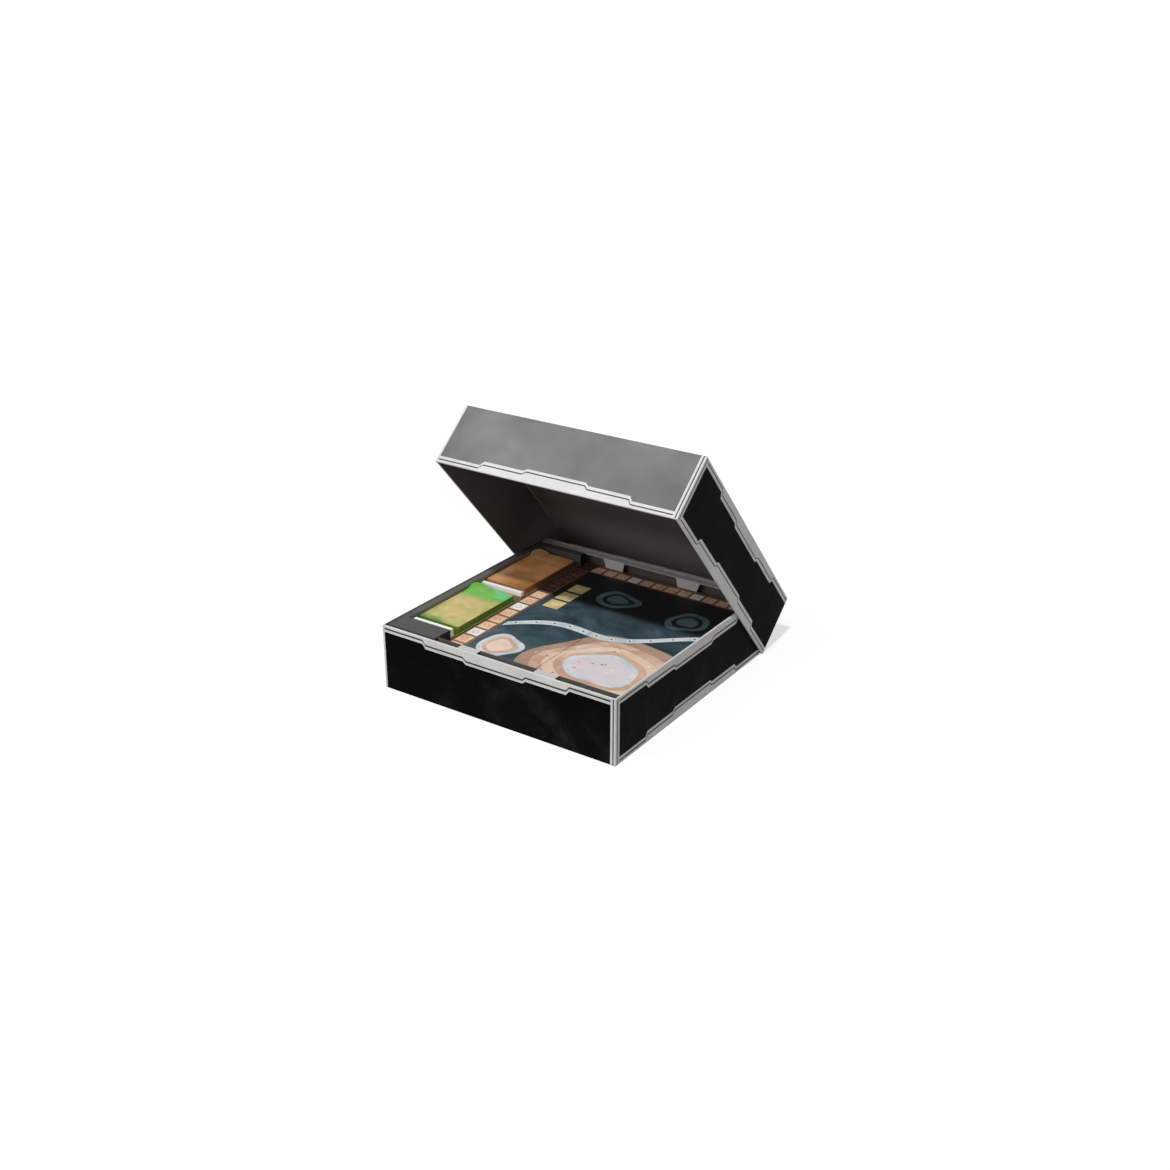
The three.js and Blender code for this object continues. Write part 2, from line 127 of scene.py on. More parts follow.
class Look:
    """A node material that is built up in a few calls."""

    def __init__(self, name, roughness=0.6, specular=0.4):
        self.material = bpy.data.materials.new(name)
        self.material.use_nodes = True
        self.nodes = self.material.node_tree.nodes
        self.links = self.material.node_tree.links
        self.shader = self.nodes["Principled BSDF"]
        self.shader.inputs["Roughness"].default_value = roughness
        self.shader.inputs["Specular IOR Level"].default_value = specular
        self.coords = self.nodes.new("ShaderNodeTexCoord")

    def feed(self, socket, value):
        """Links another node's output to a socket, or sets the socket to a plain value."""
        if hasattr(value, "is_output"):
            self.links.new(value, socket)
        else:
            socket.default_value = value

    def mapped(self, scale=(1, 1, 1), rotation=(0, 0, 0)):
        mapping = self.nodes.new("ShaderNodeMapping")
        mapping.inputs["Scale"].default_value = scale
        mapping.inputs["Rotation"].default_value = rotation
        self.links.new(self.coords.outputs["Object"], mapping.inputs["Vector"])
        return mapping.outputs["Vector"]

    def noise(self, scale, detail=4.0, roughness=0.55, distortion=0.0, vector=None):
        node = self.nodes.new("ShaderNodeTexNoise")
        node.inputs["Scale"].default_value = scale
        node.inputs["Detail"].default_value = detail
        node.inputs["Roughness"].default_value = roughness
        node.inputs["Distortion"].default_value = distortion
        self.links.new(vector or self.mapped(), node.inputs["Vector"])
        return node.outputs["Fac"]

    def ramp(self, fac, stops):
        """stops are (position, sRGB colour) pairs."""
        node = self.nodes.new("ShaderNodeValToRGB")
        elements = node.color_ramp.elements
        while len(elements) < len(stops):
            elements.new(0.5)
        for element, (position, colour) in zip(elements, stops):
            element.position = position
            element.color = rgb(*colour)
        self.links.new(fac, node.inputs["Fac"])
        return node.outputs["Color"]

    def mix(self, fac, a, b, mode="MIX"):
        """a where fac is 0 and b where it is 1. b may also be an sRGB colour."""
        node = self.nodes.new("ShaderNodeMix")
        node.data_type = "RGBA"
        node.blend_type = mode
        self.feed(node.inputs[MIX_FACTOR], fac)
        self.feed(node.inputs[MIX_A], a)
        self.feed(node.inputs[MIX_B], rgb(*b) if isinstance(b, tuple) else b)
        return node.outputs[MIX_RESULT]

    def math(self, operation, a, b=0.0):
        node = self.nodes.new("ShaderNodeMath")
        node.operation = operation
        self.feed(node.inputs[0], a)
        self.feed(node.inputs[1], b)
        return node.outputs[0]

    def times(self, a, b):
        return self.math("MULTIPLY", a, b)

    def along(self, direction, origin=(0, 0, 0)):
        """Distance in millimetres along a direction of the part, from a point in millimetres."""
        node = self.nodes.new("ShaderNodeVectorMath")
        node.operation = "DOT_PRODUCT"
        node.inputs[1].default_value = direction
        self.links.new(self.coords.outputs["Object"], node.inputs[0])
        start = sum(a * b for a, b in zip(direction, origin))
        return self.math("SUBTRACT", self.math("DIVIDE", node.outputs["Value"], MM), start)

    def faces(self, axis):
        """How far the surface faces along an axis of the part, -1 to 1."""
        node = self.nodes.new("ShaderNodeSeparateXYZ")
        self.links.new(self.coords.outputs["Normal"], node.inputs[0])
        return node.outputs[axis]

    def fade(self, value, low, high, smooth=True):
        """0 at low, 1 at high, and held there beyond them."""
        node = self.nodes.new("ShaderNodeMapRange")
        node.interpolation_type = "SMOOTHSTEP" if smooth else "LINEAR"
        node.inputs["From Min"].default_value = low
        node.inputs["From Max"].default_value = high
        self.links.new(value, node.inputs["Value"])
        return node.outputs["Result"]

    def tinted(self, base, tints):
        """tints are (mask maker, colour) pairs: where the mask is 1, that colour takes over."""
        for mask, colour in tints:
            base = self.mix(mask(self), base, colour)
        return base

    def colour(self, output):
        self.links.new(output, self.shader.inputs["Base Color"])
        return self

    def shaded(self, base, shade):
        """The base colour times a grey that darkens it in places."""
        return self.colour(self.mix(1.0, base, shade, "MULTIPLY"))

    def bump(self, height, strength=0.2, distance=COARSE_RELIEF):
        node = self.nodes.new("ShaderNodeBump")
        node.inputs["Strength"].default_value = strength
        node.inputs["Distance"].default_value = distance
        self.links.new(height, node.inputs["Height"])
        self.links.new(node.outputs["Normal"], self.shader.inputs["Normal"])
        return self

    def linen(self):
        """A faint linen texture, as on laminated paper."""
        weave = self.noise(1100.0, detail=1.0, roughness=0.5)
        return self.bump(weave, 0.06, FINE_RELIEF)

    def rough(self, fac, low, high):
        node = self.nodes.new("ShaderNodeMapRange")
        node.inputs["To Min"].default_value = low
        node.inputs["To Max"].default_value = high
        self.links.new(fac, node.inputs["Value"])
        self.links.new(node.outputs["Result"], self.shader.inputs["Roughness"])
        return self


def card_look(name, dark, light, scale=60.0, roughness=0.75, bump=0.15, tints=(), grain=225):
    """Matt card or paper: a soft colour variation with fine fibre in its surface.

    grain is how dark the fibre gets, out of 255.
    """
    look = Look(name, roughness, specular=0.25)
    soft = look.noise(scale, detail=3.0)
    fibre = look.noise(1400.0, detail=2.0, roughness=0.7, vector=look.mapped((1, 1, 3)))
    base = look.tinted(look.ramp(soft, [(0.3, dark), (0.7, light)]), tints)
    look.shaded(base, look.ramp(fibre, [(0.3, grey(grain)), (0.7, grey(255))]))
    return look.bump(fibre, bump, FINE_RELIEF).material


def print_look(name, stops, scale, distortion, roughness=0.42, specular=0.35, tints=()):
    """Laminated print: a mottled ink colour under a faint linen texture."""
    look = Look(name, roughness, specular)
    clouds = look.noise(scale, detail=6.0, roughness=0.62, distortion=distortion)
    look.colour(look.tinted(look.ramp(clouds, stops), tints))
    look.rough(look.noise(90.0, detail=3.0), roughness - 0.06, roughness + 0.08)
    return look.linen().material


def lid_print():
    """The lid's print: large soft grey clouds with fine grit."""
    look = Look("lid_print", roughness=0.55, specular=0.2)
    clouds = look.noise(8.0, detail=2.0, roughness=0.5, distortion=0.6)
    fine = look.noise(38.0, detail=3.0, roughness=0.55, distortion=0.5)
    base = look.ramp(clouds, [
        (0.36, (86, 89, 88)),
        (0.46, (98, 101, 100)),
        (0.54, (111, 113, 113)),
        (0.64, (121, 123, 123)),
    ])
    look.shaded(base, look.ramp(fine, [(0.38, (243, 245, 244)), (0.62, grey(255))]))
    return look.linen().material


def card_face(look, base):
    """Finishes a card's printed face with a fine grain and a faint relief."""
    grain = look.noise(90.0, detail=5.0, roughness=0.65, distortion=0.2)
    look.shaded(base, look.ramp(grain, [(0.3, grey(222)), (0.7, grey(255))]))
    return look.bump(look.noise(900.0, detail=1.0), 0.05, FINE_RELIEF).material


def patches(look, scale, turn):
    """Soft patches on a card's face. Each turn puts them in other places."""
    return look.noise(scale, detail=2.0, roughness=0.5, distortion=0.2,
                      vector=look.mapped((1, 1, 1), turn))


def lobe_painted_highlight(look):
    """A painted highlight: the pale line round the lobe of the rear deck's top card and on to its
    right edge.
    """
    across = look.math("MINIMUM", look.along((1, 0, 0), (REAR_LOBE[0], 0, 0)))
    deep = look.along((0, 1, 0), (0, REAR_LOBE[1], 0))
    away = look.math("SQRT", look.math("ADD", look.times(across, across), look.times(deep, deep)))
    off = look.math("ABSOLUTE", look.math("SUBTRACT", away, REAR_LOBE_HIGHLIGHT_RADIUS))
    return look.times(look.fade(off, *REAR_LOBE_HIGHLIGHT_EDGE), REAR_LOBE_HIGHLIGHT_STRENGTH)


def orange_face():
    """A card's printed face: orange and brown fields, painted paler to the back as painted light,
    and a pale curved line that is a painted highlight.
    """
    look = Look("orange_card_print", roughness=0.42)
    fields = look.noise(17.0, detail=3.0, roughness=0.5, distortion=0.25)
    front = look.ramp(fields, [
        (0.36, (140, 98, 48)),
        (0.46, (172, 118, 68)),
        (0.56, (198, 142, 88)),
        (0.68, (168, 104, 60)),
    ])
    # Painted light: paler colours towards the back of the card, under the lid's shade.
    back = look.ramp(fields, [
        (0.36, (214, 146, 88)),
        (0.46, (238, 166, 102)),
        (0.56, (246, 186, 124)),
        (0.68, (230, 150, 94)),
    ])
    base = look.mix(look.fade(look.along((0, 1, 0)), *ORANGE_PAINTED_LIGHT_Y), front, back)
    brown = look.fade(patches(look, 32.0, (0.9, 0.1, 0.2)), 0.56, 0.66)
    base = look.mix(look.times(brown, BROWN_STRENGTH), base, (176, 110, 66))
    # Painted highlight: the pale line of the top card's curled edge.
    return card_face(look, look.mix(lobe_painted_highlight(look), base, (250, 230, 200)))


def green_face():
    """A card's printed face: tan and olive fields, vivid green towards its back edge."""
    look = Look("green_card_print", roughness=0.42)
    soft = look.noise(17.0, detail=3.0, roughness=0.5, distortion=0.25)
    base = look.ramp(soft, [
        (0.36, (150, 164, 72)),
        (0.47, (184, 178, 104)),
        (0.58, (204, 184, 116)),
        (0.68, (176, 180, 96)),
    ])
    place = look.math("ADD", look.along((0, 1, 0)), look.times(soft, GREEN_WANDER))
    base = look.mix(look.fade(place, *GREEN_VIVID_Y), base, (104, 180, 60))
    base = look.mix(look.fade(place, *GREEN_OLIVE_Y), base, (98, 138, 44))
    cyan = look.fade(patches(look, 26.0, (0.5, 0.1, 1.9)), 0.52, 0.62)
    cyan = look.times(cyan, look.fade(place, *GREEN_CYAN_Y))
    base = look.mix(cyan, base, (104, 208, 140))
    warm = look.fade(patches(look, 32.0, (0.3, 0.2, 0.7)), 0.58, 0.7)
    return card_face(look, look.mix(warm, base, (206, 146, 84)))


def deck_side(name, dark, light):
    """The side of a stack of cards: fine level lines, one for each card."""
    look = Look(name, roughness=0.7, specular=0.25)
    lines = look.noise(30.0, detail=2.0, roughness=0.6, vector=look.mapped((0.3, 0.3, 110.0)))
    look.colour(look.ramp(lines, [(0.35, dark), (0.65, light)]))
    return look.bump(lines, 0.35).material


def greyboard_look():
    look = Look("raw_greyboard", roughness=0.9, specular=0.15)
    fibre = look.noise(420.0, detail=6.0, roughness=0.75)
    look.colour(look.ramp(fibre, [(0.35, (112, 106, 98)), (0.65, (150, 143, 133))]))
    return look.bump(fibre, 0.4).material


def moulded_plastic():
    look = Look("moulded_plastic", roughness=0.45, specular=0.5)
    clouds = look.noise(20.0, detail=2.0)
    look.colour(look.ramp(clouds, [(0.3, (40, 41, 43)), (0.7, (50, 52, 54))]))
    return look.bump(look.noise(700.0, detail=2.0), 0.12, FINE_RELIEF).material


def lid_foot_painted_light(look):
    """The part of the lid's lining near its lower back edge, painted lighter there as painted
    light.
    """
    rising = (0, -math.cos(LID_TILT), math.sin(LID_TILT))
    return look.fade(look.along(rising, (0, LID_SIDE / 2, 0)), *LID_FOOT_PAINTED_LIGHT)


def lid_crease_painted_highlight(look):
    """The folded corners of the lining, along the sides of the lid's top, where a painted highlight
    runs.
    """
    inward = (0, math.sin(LID_TILT), math.cos(LID_TILT))
    depth = look.along(inward, (0, LID_SIDE / 2, 0))
    deep = look.fade(depth, *(LID_HEIGHT - edge for edge in CREASE_DEEP), smooth=False)
    across = look.math("ABSOLUTE", look.along((1, 0, 0)))
    aside = look.fade(across, *(LID_SIDE / 2 - edge for edge in CREASE_ASIDE), smooth=False)
    return look.times(look.times(deep, aside), CREASE_HIGHLIGHT_STRENGTH)


def facing_right(look, low, high):
    """The sides that face right, on the high side of x."""
    right = look.fade(look.faces("X"), *FACING_RIGHT)
    return look.times(right, look.fade(look.along((1, 0, 0)), low, high))


def well_side_painted_light(look):
    """The left side of the card well, painted lighter as painted light."""
    return facing_right(look, *WELL_SIDE_PAINTED_LIGHT_X)


def insert_step_painted_shade(look):
    """The insert's side towards the board, painted near black as painted shade."""
    return facing_right(look, *INSERT_STEP_PAINTED_SHADE_X)


def insert_front(look):
    """The insert's top in front of the card well, painted darker as painted shade."""
    front = look.fade(look.along((0, 1, 0)), *INSERT_FRONT_PAINTED_SHADE_Y)
    return look.times(front, INSERT_FRONT_PAINTED_SHADE_STRENGTH)


def tray_side_painted_shade(look):
    """The low sides of a card tray, tinted a darker tan as painted shade."""
    return look.fade(look.along((0, 0, 1)), *TRAY_SIDE_PAINTED_SHADE_Z)


def board_back_print_and_shade(look):
    """The part of the board under the lid, printed near black from where the lid's shadow falls:
    dark print and painted shade.
    """
    return look.fade(look.along((0, 1, 0)), *BOARD_DARK_PRINT_AND_SHADE_Y)


def trim_look(name, dark, light, scale=25.0):
    """The smooth paper of the border print."""
    return card_look(name, dark, light, scale, roughness=0.5, bump=0.03, grain=245)


TRIM = trim_look("trim_print", (189, 188, 184), (206, 205, 201))
LINE = trim_look("pinstripe_print", (43, 43, 42), (56, 56, 55), 40.0)
LID_TRIM = trim_look("lid_trim_print", (194, 194, 192), (211, 211, 209))
BLACK = print_look("black_print", [
    (0.46, (4, 4, 4)),
    (0.56, (8, 9, 9)),
    (0.65, (18, 22, 21)),
    (0.78, (32, 38, 37)),
], scale=17.0, distortion=0.6, roughness=0.6, specular=0.02)
LID_GREY = lid_print()

# Papers and cards: dark and light colour, scale of the variation, roughness and relief
RIM_DARK = card_look("rim_print", (26, 26, 27), (38, 38, 39), 60.0, 0.55, 0.1)
LID_DARK = card_look("lid_lining_paper", (88, 83, 81), (97, 92, 89), 14.0, 0.9, 0.2, tints=(
    # Painted light: the lining is lighter near its lower back edge.
    (lid_foot_painted_light, (156, 149, 145)),
    # Painted highlight: a pale line along the lining's folded corners.
    (lid_crease_painted_highlight, (205, 200, 192)),
))
FLOOR_PAPER = card_look("floor_lining_paper", (30, 29, 28), (38, 37, 36), 20.0, 0.85, 0.2)
LIGHT_LINING = card_look("light_lining_paper", (226, 225, 222), (238, 237, 234), 20.0)
INSERT = card_look("insert_card", (85, 84, 81), (95, 93, 89), 12.0, 0.72, 0.2, tints=(
    # Painted shade: the insert's top is darker in front of the card well.
    (insert_front, (74, 74, 74)),
    # Painted light: the card well's left side is lighter than the card.
    (well_side_painted_light, (150, 148, 140)),
    # Painted shade: the insert's side towards the board is near black.
    (insert_step_painted_shade, (24, 22, 26)),
))
DARK_CARD = card_look("recess_wall_card", (84, 81, 77), (96, 93, 88), 18.0, 0.75, 0.2)
LEDGE = card_look("ledge_card", (192, 190, 186), (208, 206, 202), 18.0, 0.7, 0.2)
WHITE_CARD = card_look("white_tray_card", (238, 235, 228), (248, 246, 240), 30.0, 0.7, 0.2, tints=(
    # Painted shade: the trays' low sides are a darker tan.
    (tray_side_painted_shade, (146, 136, 100)),
))
BOARD_EDGE = card_look("board_edge_card", (52, 52, 52), (70, 69, 67), 50.0, 0.8)

GREYBOARD = greyboard_look()
PLASTIC = moulded_plastic()
GREEN_FACE = green_face()
GREEN_SIDE = deck_side("green_deck_side", (56, 96, 12), (104, 140, 32))
ORANGE_FACE = orange_face()
ORANGE_SIDE = deck_side("orange_deck_side", (118, 72, 46), (162, 112, 74))
# Towards its back the field turns near black where the lid's shadow falls: dark print and painted
# shade.
BOARD_FIELD = print_look("board_field_print", [
    (0.34, (38, 52, 60)),
    (0.5, (52, 70, 78)),
    (0.66, (72, 90, 98)),
], scale=22.0, distortion=0.8, tints=((board_back_print_and_shade, (22, 22, 24)),))


def board_ink(name, scale, distortion, *stops):
    """An ink on the game board, from the scale and distortion of its clouds and its colours."""
    return print_look(f"board_{name}_ink", stops, scale, distortion)


INK_TAN = board_ink("tan", 30.0, 1.0,
                    (0.32, (176, 140, 118)), (0.5, (198, 164, 142)), (0.68, (216, 190, 172)))
INK_PALE = board_ink("pale", 40.0, 0.4, (0.36, (176, 186, 192)), (0.6, (206, 212, 214)))
INK_SQUARE = board_ink("square", 60.0, 0.3, (0.36, (214, 172, 138)), (0.64, (230, 198, 168)))
INK_WHITE = board_ink("white", 60.0, 0.3, (0.36, (222, 222, 218)), (0.64, (238, 238, 234)))
INK_YELLOW = board_ink("yellow", 60.0, 0.3, (0.36, (188, 172, 108)), (0.64, (210, 194, 132)))
INK_SAND = board_ink("sand", 45.0, 0.5, (0.34, (212, 184, 160)), (0.66, (226, 204, 186)))
INK_SHALLOW = board_ink("shallow", 45.0, 0.5, (0.34, (70, 92, 102)), (0.66, (92, 116, 124)))
INK_GREEN = board_ink("green", 45.0, 0.5, (0.34, (96, 156, 112)), (0.66, (122, 178, 134)))
# Painted shade: a dark brown for the left column where the shade by the rear deck falls.
INK_PAINTED_SHADE = board_ink("track_painted_shade", 60.0, 0.3, (0.36, (58, 38, 30)), (0.64, (76, 52, 42)))
INK_TRACK = board_ink("track", 60.0, 0.3, (0.36, (104, 76, 58)), (0.64, (124, 94, 74)))
INK_BROWN = board_ink("brown", 60.0, 0.3, (0.36, (150, 104, 82)), (0.64, (174, 128, 104)))
INK_SHORE = board_ink("shore", 35.0, 0.8, (0.34, (150, 126, 110)), (0.66, (178, 148, 128)))
INK_LILAC = board_ink("lilac", 34.0, 0.8,
                      (0.32, (196, 214, 196)), (0.42, (204, 196, 196)),
                      (0.54, (206, 198, 204)), (0.66, (218, 202, 196)))

# CAD nodes that keep their shape, by the material they get
DRESS = (
    (GREYBOARD, ("base_front_board", "base_back_board", "base_left_board", "base_right_board",
                 "lid_top_board", "lid_front_board", "lid_back_board", "lid_left_board",
                 "lid_right_board")),
    (BLACK, ("base_floor_board",)),
    (FLOOR_PAPER, ("base_floor_liner",)),
    (INSERT, ("insert_card_wells",)),
    (DARK_CARD, ("insert_front_wall", "insert_back_wall")),
    (LEDGE, ("insert_front_tab_left", "insert_front_tab_right", "insert_back_ledge")),
    (PLASTIC, ("component_tray_left", "component_tray_right")),
    (WHITE_CARD, ("card_tray_rear", "card_tray_front")),
    (GREEN_SIDE, ("front_deck_card_stack",)),
    (GREEN_FACE, ("front_deck_top_card",)),
    (ORANGE_SIDE, ("rear_deck_card_stack",)),
    (ORANGE_FACE, ("rear_deck_top_card",)),
    (LID_DARK, ("lid_liner",)),
    (LIGHT_LINING, ("lid_back_liner",)),
    (BOARD_EDGE, [f"board_leaf_{leaf}" for leaf in range(1, BOARD_LEAVES)]),
    (BOARD_FIELD, (f"board_leaf_{BOARD_LEAVES}",)),
)


def dress_all():
    """Gives the CAD nodes their materials; their shapes stay as they are."""
    for material, nodes in DRESS:
        for node in nodes:
            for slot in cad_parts[node].material_slots:
                slot.material = material


# Printed wraps
def add_object(name, data):
    obj = bpy.data.objects.new(name, data)
    bpy.context.scene.collection.objects.link(obj)
    return obj


class Mesh:
    """Collects points and faces with a material each."""

    def __init__(self):
        self.points = []
        self.faces = []
        self.looks = []
        self.materials = []

    def face(self, corners, material):
        if material not in self.materials:
            self.materials.append(material)
        start = len(self.points)
        self.points.extend(corners)
        self.faces.append(tuple(range(start, start + len(corners))))
        self.looks.append(self.materials.index(material))

    def build(self, name):
        data = bpy.data.meshes.new(name)
        data.from_pydata([[c * MM for c in p] for p in self.points], [], self.faces)
        for material in self.materials:
            data.materials.append(material)
        for polygon, look in zip(data.polygons, self.looks):
            polygon.material_index = look
        data.update()
        return add_object(name, data)


def wall_point(face, s, inward, height, side):
    """A point on wall `face` at s along it, `inward` from its outside, at a height."""
    half = side / 2
    reach = max(EDGE_ROUND, inward)
    curve = max(EDGE_ROUND - inward, 0.0)
    along = s - half
    if s < EDGE_ROUND or s > side - EDGE_ROUND:
        near = min(s, side - s)
        angle = (1 - near / EDGE_ROUND) * math.pi / 4
        along = math.copysign(half - reach + curve * math.sin(angle), along)
        out = half - reach + curve * math.cos(angle)
    else:
        along = max(-(half - reach), min(half - reach, along))
        out = half - inward
    return {
        "front": (along, -out, height),
        "right": (out, along, height),
        "back": (-along, out, height),
        "left": (-out, -along, height),
    }[face]


def step_places(side):
    """Where the border steps, from a corner."""
    return [share * side for share in STEP_SHARES]


def border(s, side):
    """The border's depth at s: its pinstripe's centre and its outer edge."""
    near = min(s, side - s)
    depths = NARROW
    for step, wider in zip(step_places(side), (MIDDLE, WIDE)):
        if near > step:
            share = min(1.0, (near - step) / STEP_RUN)
            depths = tuple(a + (b - a) * share for a, b in zip(depths, wider))
    return depths


def column_edges(side, bands=((), ())):
    """Where the columns of a wall's print begin and end."""
    first, second = step_places(side)
    marks = [0, EDGE_ROUND / 3, EDGE_ROUND * 2 / 3, EDGE_ROUND]
    marks += [first, first + STEP_RUN, second, second + STEP_RUN]
    edges = set(marks) | {side - mark for mark in marks}
    edges |= set(bands[0]) | {side - band for band in bands[1]}
    return sorted(edges)


def column_kind(middle, side, bands):
    """None where the border runs, or the material of an upright edge band."""
    for distance, lines in ((middle, bands[0]), (side - middle, bands[1])):
        if lines and distance < lines[-1]:
            if len(lines) == 1 or distance < lines[0] or distance >= lines[1]:
                return "trim"
            return "line"
    return None


def rows_at(s, side, height, far, looks, pinstripe):
    """Row boundaries down a column from the rim, with the material above each."""
    trim, line, field = looks
    centre, outer = border(s, side)
    half = pinstripe / 2
    rows = [(centre - half, trim), (centre + half, line), (outer, trim)]
    if far:
        rows += [(height - outer, field), (height - centre - half, trim),
                 (height - centre + half, line)]
        field = trim
    return rows + [(height, field)]


def wrap_walls(mesh, side, height, walls, place, inks, pinstripe):
    """The outside of four walls. place(face, s, depth) gives the point at a depth from the rim."""
    lowest = height - EDGE_ROUND
    for face, (bands, far) in walls.items():
        looks = inks if face == "front" else inks[:2] + (BLACK,)
        edges = column_edges(side, bands)
        for left, right in zip(edges, edges[1:]):
            if right - left < SLIVER:
                continue
            kind = column_kind((left + right) / 2, side, bands)
            if kind:
                rows_left = rows_right = [(height, inks[0] if kind == "trim" else inks[1])]
            else:
                rows_left, rows_right = (rows_at(s, side, height, far, looks, pinstripe)
                                         for s in (left + NUDGE, right - NUDGE))
            depth_left = depth_right = EDGE_ROUND
            for (down_left, look), (down_right, _) in zip(rows_left, rows_right):
                down_left = min(down_left, lowest)
                down_right = min(down_right, lowest)
                if max(down_left - depth_left, down_right - depth_right) > SLIVER:
                    mesh.face([
                        place(face, left, depth_left),
                        place(face, left, down_left),
                        place(face, right, down_right),
                        place(face, right, depth_right),
                    ], look)
                depth_left, depth_right = down_left, down_right


def strip(mesh, side, face, profile, point, look_of):
    """A folded edge: a profile of (inward, height) pairs carried along one wall."""
    edges = column_edges(side)
    for left, right in zip(edges, edges[1:]):
        for (in_a, up_a), (in_b, up_b) in zip(profile, profile[1:]):
            mesh.face([
                point(face, left, in_a, up_a),
                point(face, right, in_a, up_a),
                point(face, right, in_b, up_b),
                point(face, left, in_b, up_b),
            ], look_of((in_a + in_b) / 2))


def fold(outer_height, sign):
    """A quarter round from the outside of a wall over its rim."""
    points = []
    for step in range(EDGE_STEPS + 1):
        angle = math.pi / 2 * step / EDGE_STEPS
        points.append((EDGE_ROUND * (1 - math.cos(angle)),
                       outer_height - sign * EDGE_ROUND * (1 - math.sin(angle))))
    return points


def base_wrap():
    """The base's printed paper: outside, over the rim and down inside."""
    mesh = Mesh()

    def point(face, s, inward, height):
        return wall_point(face, s, inward, height, BASE_SIDE)

    def place(face, s, depth):
        return point(face, s, 0.0, BASE_HEIGHT - depth)
    plain = (((LEFT_EDGE_LINE,), RIGHT_EDGE_LINES), False)
    walls = {
        "front": plain,
        "right": ((SIDE_FRONT_BAND, ()), True),
        "back": plain,
        "left": (((), SIDE_FRONT_BAND), True),
    }
    wrap_walls(mesh, BASE_SIDE, BASE_HEIGHT, walls, place, (TRIM, LINE, BLACK), PINSTRIPE)
    rim = fold(BASE_HEIGHT, 1)
    inner = [(BASE_WALL - i, h) for i, h in reversed(rim)]
    profile = rim + [(RIM_PRINT, BASE_HEIGHT)] + inner
    profile.append((BASE_WALL, BASE_HEIGHT - BASE_TURN_IN))
    foot = [(BASE_WALL / 4, BASE_FOOT), (0.0, EDGE_ROUND)]
    for face in walls:
        light = RIM_PRINT if face == "left" else BASE_WALL
        strip(mesh, BASE_SIDE, face, profile, point,
              lambda inward, light=light: TRIM if inward < light else RIM_DARK)
        strip(mesh, BASE_SIDE, face, foot, point,
              lambda inward, face=face: TRIM if walls[face][1] else BLACK)
    return mesh.build("base_printed_wrap")


def tilt(point):
    """From the lid's own frame to the box's: the lid's lower back edge is its origin."""
    x, y, z = point
    y -= LID_SIDE / 2
    return (x,
            LID_SIDE / 2 + y * math.cos(LID_TILT) + z * math.sin(LID_TILT),
            -y * math.sin(LID_TILT) + z * math.cos(LID_TILT))


def lid_wrap():
    """The lid's printed paper: four walls, the top and the folded rim."""
    mesh = Mesh()

    def point(face, s, inward, height):
        return tilt(wall_point(face, s, inward, height, LID_SIDE))

    def place(face, s, depth):
        return point(face, LID_SIDE - s, 0.0, depth)
    inks = (LID_TRIM, LINE, LID_GREY)
    plain = ((RIGHT_EDGE_LINES, (LEFT_EDGE_LINE,)), False)
    walls = {
        "front": plain,
        "right": (((), SIDE_FRONT_BAND), True),
        "back": plain,
        "left": ((SIDE_FRONT_BAND, ()), True),
    }
    wrap_walls(mesh, LID_SIDE, LID_HEIGHT, walls, place, inks, LID_PINSTRIPE)
    outside = fold(0.0, -1)
    rim = outside + [(LID_RIM, 0.0), (LID_RIM, LID_TURN_IN)]
    top = [(i, LID_HEIGHT - h) for i, h in outside]
    for face in walls:
        strip(mesh, LID_SIDE, face, rim, point, lambda inward: LID_TRIM)
        strip(mesh, LID_SIDE, face, top, point,
              lambda inward, face=face: LID_TRIM if walls[face][1] else LID_GREY)
    lid_top(mesh, inks)
    return mesh.build("lid_printed_wrap")


def lid_top(mesh, inks):
    """The lid's top: a mottled field inside the same stepped border on all four sides."""
    inner = LID_SIDE / 2 - EDGE_ROUND
    edges = {edge for edge in column_edges(LID_SIDE) if EDGE_ROUND <= edge <= LID_SIDE - EDGE_ROUND}
    edges = sorted(edges | {TOP_FRAME, LID_SIDE - TOP_FRAME})
    for turn in range(4):
        angle = turn * math.pi / 2

        def place(s, depth, angle=angle):
            x = max(-inner + depth, min(inner - depth, s - LID_SIDE / 2))
            y = -inner + depth
            return tilt((x * math.cos(angle) - y * math.sin(angle),
                         x * math.sin(angle) + y * math.cos(angle), LID_HEIGHT))
        for left, right in zip(edges, edges[1:]):
            rows_left, rows_right = (rows_at(s, LID_SIDE, TOP_FRAME, False, inks, LID_PINSTRIPE)
                                     for s in (left, right))
            depth_left = depth_right = 0.0
            for (down_left, look), (down_right, _) in zip(rows_left, rows_right):
                mesh.face([
                    place(left, depth_left),
                    place(right, depth_right),
                    place(right, down_right),
                    place(left, down_left),
                ], look)
                depth_left, depth_right = down_left, down_right
    rest = inner - TOP_FRAME
    mesh.face([tilt((x, y, LID_HEIGHT)) for x, y in rectangle(-rest, -rest, rest, rest)], LID_GREY)


# Print of the game board, in millimetres. Layers lie one thin step above each other.
BOARD_LEFT = -80.0
BOARD_RIGHT = 144.3
BOARD_FRONT = -135.7
BOARD_BACK = 135.3
INK_STEP = 0.015
PRINT_EDGE = 0.2
FIELD_EDGE = 1.5
STRIP_LAYER = 0.5
SPACE_LAYER = 1
RINGS_LAYER = 1
CARD_LAYER = 3
RIBBON_LAYER = 8
STRAY_LAYER = 11
FOLD_LAYER = 12
FOLD_LINE = 0.5
ROUND_SIDES = 20

